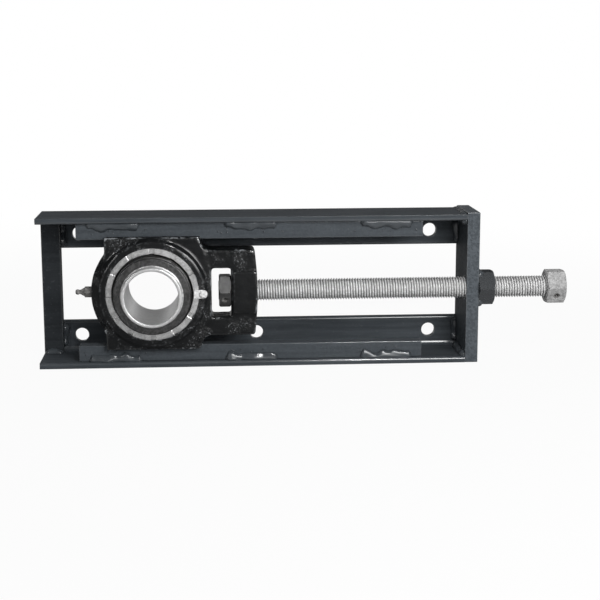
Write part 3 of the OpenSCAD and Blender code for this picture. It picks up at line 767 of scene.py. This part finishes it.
def rod_between(start, end, radius, sides):
    """A closed cylinder between two points."""
    bm = bmesh.new()
    axis = Vector(end) - Vector(start)
    turn = axis.to_track_quat("Z", "Y").to_matrix().to_4x4()
    middle = Matrix.Translation((Vector(start) + Vector(end)) / 2)
    bmesh.ops.create_cone(bm, cap_ends=True, segments=sides, radius1=radius, radius2=radius,
                          depth=axis.length, matrix=middle @ turn)
    return bm


def block_between(low, high):
    """A closed box between two corners."""
    bm = bmesh.new()
    low, high = Vector(low), Vector(high)
    size = Matrix.Diagonal((*(high - low), 1.0))
    bmesh.ops.create_cube(bm, size=1.0, matrix=Matrix.Translation((low + high) / 2) @ size)
    return bm


print("piece tools ready")

# %% [markdown]
# ## The screw's thread
# The solid screw is a plain rod. A real one has a coarse thread that you can count in the picture.
# One could bump it, but the saw-tooth shows against the white ground, so it is geometry. Picture a
# tube whose rings are not closed: going once round, each row of points arrives one pitch further
# along and joins the row there. Points that run past the ends are cut off square and capped.

# %% Surface of the thread
THREAD_PITCH = 25.4 / 8 * MM
THREAD_DEPTH = 1.95 * MM
THREAD_SIDES = 48
LEAD_TURNS = 2  # turns that run past each end before the cut
END_BEVEL = 2.0 * MM
# share of a pitch and share of the depth: crest, flank, rounded root, flank
THREAD_PROFILE = [(0.0, 0.06), (0.07, 0.0), (0.15, 0.06), (0.44, 0.93), (0.53, 1.0), (0.62, 0.93)]
screw_low, screw_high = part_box("adjusting_screw")
screw_radius = screw_high.z
screw_turns = (screw_high.x - screw_low.x) / THREAD_PITCH


def thread_point(row, side):
    turn, step = divmod(row, len(THREAD_PROFILE))
    share, depth = THREAD_PROFILE[step]
    x = screw_low.x + (turn + share + side / THREAD_SIDES - LEAD_TURNS) * THREAD_PITCH
    from_end = min(x - screw_low.x, screw_high.x - x)
    radius = min(screw_radius - depth * THREAD_DEPTH, screw_radius - END_BEVEL + max(from_end, 0))
    angle = 2 * math.pi * side / THREAD_SIDES
    return Vector((x, radius * math.cos(angle), radius * math.sin(angle)))


def thread_tube():
    """The thread as an open tube that runs past both ends of the screw."""
    bm = bmesh.new()
    per_turn = len(THREAD_PROFILE)
    rows = int(screw_turns + 2 * LEAD_TURNS) * per_turn
    grid = [[bm.verts.new(thread_point(row, side)) for side in range(THREAD_SIDES)] for row in range(rows)]
    for row in range(rows - 1):
        for side in range(THREAD_SIDES):
            last = side == THREAD_SIDES - 1
            shift = per_turn if last else 0
            if row + 1 + shift >= rows:
                continue
            beside = 0 if last else side + 1
            bm.faces.new((grid[row][side], grid[row + 1][side],
                          grid[row + 1 + shift][beside], grid[row + shift][beside]))
    return bm


print("turns of thread:", round(screw_turns, 1))

# %% [markdown]
# ## The screw's ends and pin holes
# A lathe leaves a bar with square ends and a small bevel, and a spring pin goes through the bar and
# each of its two nuts. The bevel is already in the radius of the thread. Here the tube is cut at both
# ends and closed, and the two pin holes are drilled at the slant that the pins have in the picture.

# %% Threaded screw
ON_PLANE = 0.001 * MM
PIN_HOLE = 4.02 * MM
PIN_REACH = 20  # millimetres to each side of the axis
PIN_SIDES = 32
PIN_WAY = Vector((0, -math.sin(math.radians(60)), -0.5))
THREAD_SHARP = math.radians(50)


def close_end(bm, x, outward):
    """Cuts the tube square at x and caps the cut."""
    geometry = bm.verts[:] + bm.edges[:] + bm.faces[:]
    bmesh.ops.bisect_plane(bm, geom=geometry, plane_co=(x, 0, 0), plane_no=(outward, 0, 0),
                           clear_outer=True)
    rim = [edge for edge in bm.edges if edge.is_boundary
           and all(abs(v.co.x - x) < ON_PLANE for v in edge.verts)]
    bmesh.ops.contextual_create(bm, geom=rim)


def make_screw():
    bm = thread_tube()
    close_end(bm, screw_low.x, -1)
    close_end(bm, screw_high.x, 1)
    bmesh.ops.recalc_face_normals(bm, faces=bm.faces[:])
    piece = add_piece("threaded_screw", bm, "screw", "zinc", "adjusting_screw", "thread_zinc")
    for nut in ("inner_nut", "wrench_nut"):
        low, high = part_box(nut)
        middle = Vector(((low.x + high.x) / 2, 0, 0))
        reach = PIN_WAY * PIN_REACH * MM
        cut_away(piece, rod_between(middle - reach, middle + reach, PIN_HOLE, PIN_SIDES))
    piece.data.set_sharp_from_angle(angle=THREAD_SHARP)


make_screw()

# %% [markdown]
# ## The cast housing
# The solid housing has the right form but knife edges. A casting has none: every corner is rounded
# and every inside corner is filled. Beveling such a shape edge by edge fails where many meet, so it
# is done the way a foundry does. First the machined holes are filled, which gives the raw casting.
# A voxel remesh and some smoothing round it all over, and slow noise makes it a little uneven. Then
# the bore, the bar grooves and the holes are cut again, crisp, as a machine shop would.

# %% Machined holes of the housing
SLIDE_GAP = 0.5 * MM
SEAT_GAP = 0.3 * MM
PRESS_GAP = 0.02 * MM
OVERLAP = 1.0 * MM
FILL = 0.6 * MM  # how much wider a plug is than its hole
GREASE_HOLE = 3.2 * MM
LOCK_HOLE = 2.52 * MM
LUG_LEFT = -55 * MM
LUG_RIGHT = 57 * MM
BORE_SIDES = 160
ROD_SIDES = 64
SMALL_SIDES = 24
housing_low, housing_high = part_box("housing")
bar_low, bar_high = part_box("upper_guide_bar")
lock_low, lock_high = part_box("lock_screw")
grease_low, grease_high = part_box("grease_fitting")
race_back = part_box("rear_outer_race")[1].y
seat_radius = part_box("notched_ring")[1].x + PRESS_GAP
back_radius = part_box("rear_seal")[1].x + PRESS_GAP
rod_hole = screw_radius + SLIDE_GAP
window_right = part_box("inner_nut")[1].x + SEAT_GAP
lock_x = (lock_low.x + lock_high.x) / 2
grease_y = (grease_low.y + grease_high.y) / 2


def machined_holes(extra, reach):
    """Bore, grooves and holes, one mesh each; extra widens them, reach runs them past the faces."""
    front = housing_low.y - reach
    left = housing_low.x + FILL - 2 * reach
    right = housing_high.x - FILL + 2 * reach
    rods = [
        ((0, front, 0), (0, race_back, 0), seat_radius, BORE_SIDES),
        ((0, race_back - OVERLAP, 0), (0, housing_high.y + reach, 0), back_radius, BORE_SIDES),
        ((window_right - reach, 0, 0), (right, 0, 0), rod_hole, ROD_SIDES),
        ((left, grease_y, 0), (-seat_radius + OVERLAP, grease_y, 0), GREASE_HOLE, SMALL_SIDES),
        ((lock_x, front, 0), (lock_x, lock_high.y + OVERLAP, 0), LOCK_HOLE, SMALL_SIDES),
    ]
    for start, end, radius, sides in rods:
        yield rod_between(start, end, radius + extra, sides)
    half = bar_high.y + SLIDE_GAP + extra
    groove_floor = bar_low.z - SEAT_GAP - extra
    for side in (-1, 1):
        low_z, high_z = sorted((side * groove_floor, side * (housing_high.z + reach)))
        yield block_between((LUG_LEFT - reach, -half, low_z), (LUG_RIGHT + reach, half, high_z))


print("bore of the casting:", round(2 * seat_radius / MM, 1), "mm")

# %% [markdown]
# ## From the mould to the machine shop
# The order matters. Smoothing after the cuts would spoil the crisp bore, and noise after them would
# open gaps round the ring. So the skin is finished first, and the same list of holes that filled the
# casting, now at its true size, is cut out of it at the end.

# %% Cast housing
VOXEL = 1.35 * MM
SMOOTH_PASSES = 9
UNEVEN = 0.22 * MM
UNEVEN_SIZE = 9 * MM
CUT_REACH = 3 * MM
CAST_SHARP = math.radians(38)


def make_housing():
    bm = bmesh.new()
    bm.from_mesh(nodes["housing"].data)
    bmesh.ops.remove_doubles(bm, verts=bm.verts, dist=SAME_POINT)
    for hole in machined_holes(FILL, 0.0):
        bm.from_mesh(mesh_from("plug", hole))
    piece = add_piece("cast_housing", bm, "carriage", "housing_paint", "housing")
    apply_modifier(piece, "REMESH", mode="VOXEL", voxel_size=VOXEL, use_smooth_shade=True)
    apply_modifier(piece, "SMOOTH", factor=0.5, iterations=SMOOTH_PASSES)
    for vertex, normal in zip(piece.data.vertices, piece.data.vertex_normals):
        vertex.co += normal.vector * UNEVEN * noise.noise(vertex.co / UNEVEN_SIZE)
    for hole in machined_holes(0.0, CUT_REACH):
        cut_away(piece, hole)
    piece.data.shade_smooth()
    piece.data.set_sharp_from_angle(angle=CAST_SHARP)
    print("cast housing:", len(piece.data.polygons), "faces")


make_housing()

# %% [markdown]
# ## A weld bead
# The frame was welded by hand, so no two beads are alike: each swells and thins, its edge wanders,
# and the pool leaves crescents as it freezes. A bead is a quarter-round section carried along its
# corner, with slow noise in both legs and a crescent ripple across. Its corner sinks a little into
# the steel, so that no gap shows. Paint covers it all, so the beads take the frame's paint, only
# glossier.

# %% Bead stations and sections
STATION = 1.1 * MM
FEWEST_STATIONS = 8
SECTION_STEPS = 8
SINK = 0.25 * MM
RIPPLE = 0.02  # height of a crescent, as a share of the bead
RIPPLE_PITCH = 4.2 * MM
CRESCENT = 0.55  # how far the middle of a crescent runs ahead, in pitches
LUMP = (1.0, 0.14, 12 * MM)  # mean, swing and length of one swing
LUMP_TURN = 2.0  # how far the noise moves on across the section


def bead_line(start, end, leg_a, leg_b):
    """Stations of a straight bead; each is a corner point and its two leg directions."""
    start, end = Vector(start), Vector(end)
    count = max(int((end - start).length / STATION), FEWEST_STATIONS)
    return [(start.lerp(end, i / count), Vector(leg_a), Vector(leg_b)) for i in range(count + 1)]


def wander(travelled, seed, mean, swing, length, lane):
    """Slow, uneven change along a bead."""
    return mean + swing * noise.noise((travelled / length, seed, lane))


def bead_section(station, reach_a, reach_b, travelled, seed):
    """Points of one quarter-round, from leg to leg, and of its sunk corner."""
    corner, leg_a, leg_b = station
    sunk = corner - (leg_a + leg_b) * SINK
    points = []
    for i in range(SECTION_STEPS + 1):
        turn = math.pi / 2 * i / SECTION_STEPS
        crescent = travelled / RIPPLE_PITCH + CRESCENT * math.sin(2 * turn)
        ripple = 1 + RIPPLE * abs(math.sin(math.pi * crescent)) * math.sin(2 * turn)
        lump = ripple * wander(travelled, seed, *LUMP, LUMP_TURN * turn)
        out_a = leg_a * (reach_a * lump * math.cos(turn) + SINK)
        out_b = leg_b * (reach_b * lump * math.sin(turn) + SINK)
        points.append(sunk + out_a + out_b)
    return points + [sunk]


print("bead section of", SECTION_STEPS + 2, "points every", STATION / MM, "mm")

# %% [markdown]
# ## From sections to a bead
# Going along the stations, the two legs grow and shrink on their own, and both taper at the ends,
# where the arc was struck and broken off. Each section becomes a ring of points. Faces between
# neighbouring rings and one across each end close the bead, so that it is a solid of its own.

# %% Beads
BLUNT_END = 0.35  # share of the full size at a bead's end
END_TAPER = 5 * MM
LEG_A = (0.86, 0.35, 14 * MM, 0.0)  # mean, swing, length of one swing, lane of the noise
LEG_B = (0.84, 0.55, 12 * MM, 5.0)


def add_bead(bm, stations, size_a, size_b, seed):
    """Carries a lumpy quarter-round along the stations."""
    travelled = 0.0
    before = stations[0][0]
    total = sum((q[0] - p[0]).length for p, q in zip(stations, stations[1:]))
    rings = []
    for station in stations:
        travelled += (station[0] - before).length
        before = station[0]
        taper = min(1.0, BLUNT_END + min(travelled, total - travelled) / END_TAPER)
        reach_a = size_a * wander(travelled, seed, *LEG_A) * taper
        reach_b = size_b * wander(travelled, seed, *LEG_B) * taper
        section = bead_section(station, reach_a, reach_b, travelled, seed)
        rings.append([bm.verts.new(point) for point in section])
    for one, two in zip(rings, rings[1:]):
        for i in range(len(one)):
            j = (i + 1) % len(one)
            bm.faces.new((one[i], one[j], two[j], two[i]))
    bm.faces.new(rings[0])
    bm.faces.new(rings[-1])


def add_welds(name, bm, stands_for):
    """Makes the beads in a bmesh one painted piece of the frame."""
    bmesh.ops.recalc_face_normals(bm, faces=bm.faces[:])
    add_piece(name, bm, "frame", "frame_paint", stands_for, "bead_paint")


print("beads end at", BLUNT_END, "of their size, over", END_TAPER / MM, "mm")

# %% [markdown]
# ## Stitches along the guide bars
# Each bar is held by three short beads, because one long bead would bend it. They lie in the corner
# between the bar's front and the flange. A hot stitch also throws small drops, which freeze on the
# bar beside it, so a seeded random generator strews a few flat spheres there.

# %% Stitch welds
ANGLE_THICKNESS = 7 * MM
STITCH = 62 * MM
STITCH_DEPTH = 4.8 * MM
STITCH_REACH = 9.5 * MM
DROPS = 14
DROP_SIZE = (0.4, 1.2)  # least and greatest radius in millimetres
DROP_FLATNESS = 0.8
DROP_NEAR = 5 * MM
DROP_FAR = 13 * MM
DROP_MARGIN = 8 * MM
upper_low, upper_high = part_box("upper_angle")
weld_low, weld_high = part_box("upper_bar_welds")
inner_z = upper_high.z - ANGLE_THICKNESS
last_stitch = weld_high.x - STITCH
stitch_starts = [weld_low.x, (weld_low.x + last_stitch) / 2, last_stitch]


def add_spatter(bm, low, high, seed):
    """Strews small frozen drops over a face that is square to Y."""
    dice = random.Random(seed)
    for _ in range(DROPS):
        place = Vector([dice.uniform(a, b) for a, b in zip(low, high)])
        size = dice.uniform(*DROP_SIZE) * MM
        shape = Matrix.Translation(place) @ Matrix.Diagonal((size, size * DROP_FLATNESS, size, 1.0))
        bmesh.ops.create_icosphere(bm, subdivisions=2, radius=1.0, matrix=shape)


def make_bar_welds(name, side, seed):
    """Three stitches along a guide bar's front; side is 1 above, -1 below."""
    bm = bmesh.new()
    for number, start in enumerate(stitch_starts):
        corner_a = (start, bar_low.y, side * inner_z)
        corner_b = (start + STITCH, bar_low.y, side * inner_z)
        stations = bead_line(corner_a, corner_b, (0, -1, 0), (0, 0, -side))
        add_bead(bm, stations, STITCH_DEPTH, STITCH_REACH, seed + number)
        low_z, high_z = sorted((side * (inner_z - DROP_NEAR), side * (inner_z - DROP_FAR)))
        left, right = start - DROP_MARGIN, start + STITCH + DROP_MARGIN
        add_spatter(bm, (left, bar_low.y, low_z), (right, bar_low.y, high_z), seed + number)
    add_welds(name + "_beads", bm, name)


make_bar_welds("upper_bar_welds", side=1, seed=11)
make_bar_welds("lower_bar_welds", side=-1, seed=17)

# %% [markdown]
# ## Corner beads
# The crossbar and the end plate are welded to both flanges and both legs. On the legs the bead stops
# short of the angle's rounded root. The end plate has one more bead, low and wide, across its top.

# %% Corner welds
WELD_LEG = 7 * MM
ROOT_RADIUS = 6 * MM
LEG_TOE = 3 * MM
TOP_BEAD_WIDTH = 6 * MM
TOP_BEAD_HEIGHT = 2.1 * MM
TOP_BEAD_START = 8 * MM
plate_low, plate_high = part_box("end_plate")
cross_low, cross_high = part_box("crossbar")
leg_inner = upper_high.y - ANGLE_THICKNESS


def crossbar_flange(side):
    z = side * inner_z
    return (cross_low.x + MM, cross_low.y, z), (cross_high.x, cross_low.y, z), (0, -1, 0), (0, 0, -side)


def plate_flange(side):
    z = side * inner_z
    front = (plate_low.x, plate_low.y + LEG_TOE, z)
    back = (plate_low.x, leg_inner - WELD_LEG - MM, z)
    return front, back, (-1, 0, 0), (0, 0, -side)


def plate_top():
    front = (plate_low.x, plate_low.y + TOP_BEAD_START, upper_high.z)
    back = (plate_low.x, plate_high.y - LEG_TOE, upper_high.z)
    return front, back, (-1, 0, 0), (0, 0, 1)


def corner_beads(at_x, into_x, flange_run, seed):
    """Beads of the crossbar or the end plate, on each flange and each leg."""
    bm = bmesh.new()
    for side in (-1, 1):
        add_bead(bm, bead_line(*flange_run(side)), WELD_LEG, WELD_LEG, seed + side)
        toe = (at_x, leg_inner, side * (upper_low.z + LEG_TOE))
        top = (at_x, leg_inner, side * (inner_z - ROOT_RADIUS))
        leg = bead_line(toe, top, (into_x, 0, 0), (0, -1, 0))
        add_bead(bm, leg, WELD_LEG, WELD_LEG, seed + 3 + side)
    return bm


crossbar_beads = corner_beads(cross_high.x, into_x=1, flange_run=crossbar_flange, seed=23)
add_welds("crossbar_welds_beads", crossbar_beads, "crossbar_welds")
plate_beads = corner_beads(plate_low.x, into_x=-1, flange_run=plate_flange, seed=41)
add_bead(plate_beads, bead_line(*plate_top()), TOP_BEAD_WIDTH, TOP_BEAD_HEIGHT, seed=48)
add_welds("end_plate_welds_beads", plate_beads, "end_plate_welds")

# %% [markdown]
# ## The frame nut's bead
# This bead runs round a hexagon instead of along a line. Its corner points come from the hexagon in
# polar form: the distance of a flat divided by the cosine of the angle from that flat's middle. The
# nut reaches past the plate's front edge, so only stations that have plate behind them are kept.

# %% Nut weld
NUT_STATIONS = 240
NUT_BEAD_WIDTH = 3.2 * MM
NUT_BEAD_HEIGHT = 5.5 * MM


def make_nut_weld():
    """Bead round the foot of the frame nut, where the plate is behind it."""
    nut_low, nut_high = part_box("frame_nut")
    flats = (nut_high.z - nut_low.z) / 2
    stations = []
    for i in range(NUT_STATIONS + 1):
        angle = 2 * math.pi * i / NUT_STATIONS
        toward = Vector((0, -math.cos(angle), math.sin(angle)))
        from_flat = (angle % (math.pi / 3)) - math.pi / 6
        corner = Vector((plate_high.x, 0, 0)) + toward * (flats / math.cos(from_flat))
        if corner.y > plate_low.y + MM:
            stations.append((corner, toward, Vector((1, 0, 0))))
    bm = bmesh.new()
    add_bead(bm, stations, NUT_BEAD_WIDTH, NUT_BEAD_HEIGHT, seed=31)
    add_welds("frame_nut_bead", bm, "frame_nut_weld")


make_nut_weld()
